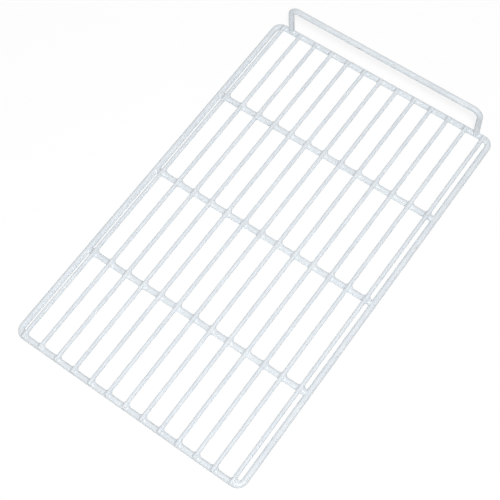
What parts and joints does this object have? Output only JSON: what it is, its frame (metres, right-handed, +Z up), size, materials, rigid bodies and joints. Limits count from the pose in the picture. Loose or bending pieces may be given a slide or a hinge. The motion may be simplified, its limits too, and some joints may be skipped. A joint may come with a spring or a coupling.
{
  "type": "wire refrigerator shelf",
  "caption": "Flat rectangular refrigerator shelf of white plastic-coated welded wire: long wires lie over a bent rim and cross wires, and a low wire stop rises along the rear edge.",
  "frame": {"origin": "bottom centre of the shelf, on the surface that the rim lies on", "axes": "+X across the shelf, +Y along the long wires towards the rear stop, +Z up"},
  "size_m": [0.325, 0.53, 0.0565],
  "materials": {
    "white_coating": "smooth white plastic coating over steel wire, satin to glossy"
  },
  "bodies": {
    "root": {"rim": "white_coating", "cross_wire_1": "white_coating", "cross_wire_2": "white_coating", "cross_wire_3": "white_coating", "long_wire_01": "white_coating", "long_wire_02": "white_coating", "long_wire_03": "white_coating", "long_wire_04": "white_coating", "long_wire_05": "white_coating", "long_wire_06": "white_coating", "long_wire_07": "white_coating", "long_wire_08": "white_coating", "long_wire_09": "white_coating", "long_wire_10": "white_coating", "long_wire_11": "white_coating", "long_wire_12": "white_coating", "long_wire_13": "white_coating", "rear_stop": "white_coating"}
  },
  "joints": []
}
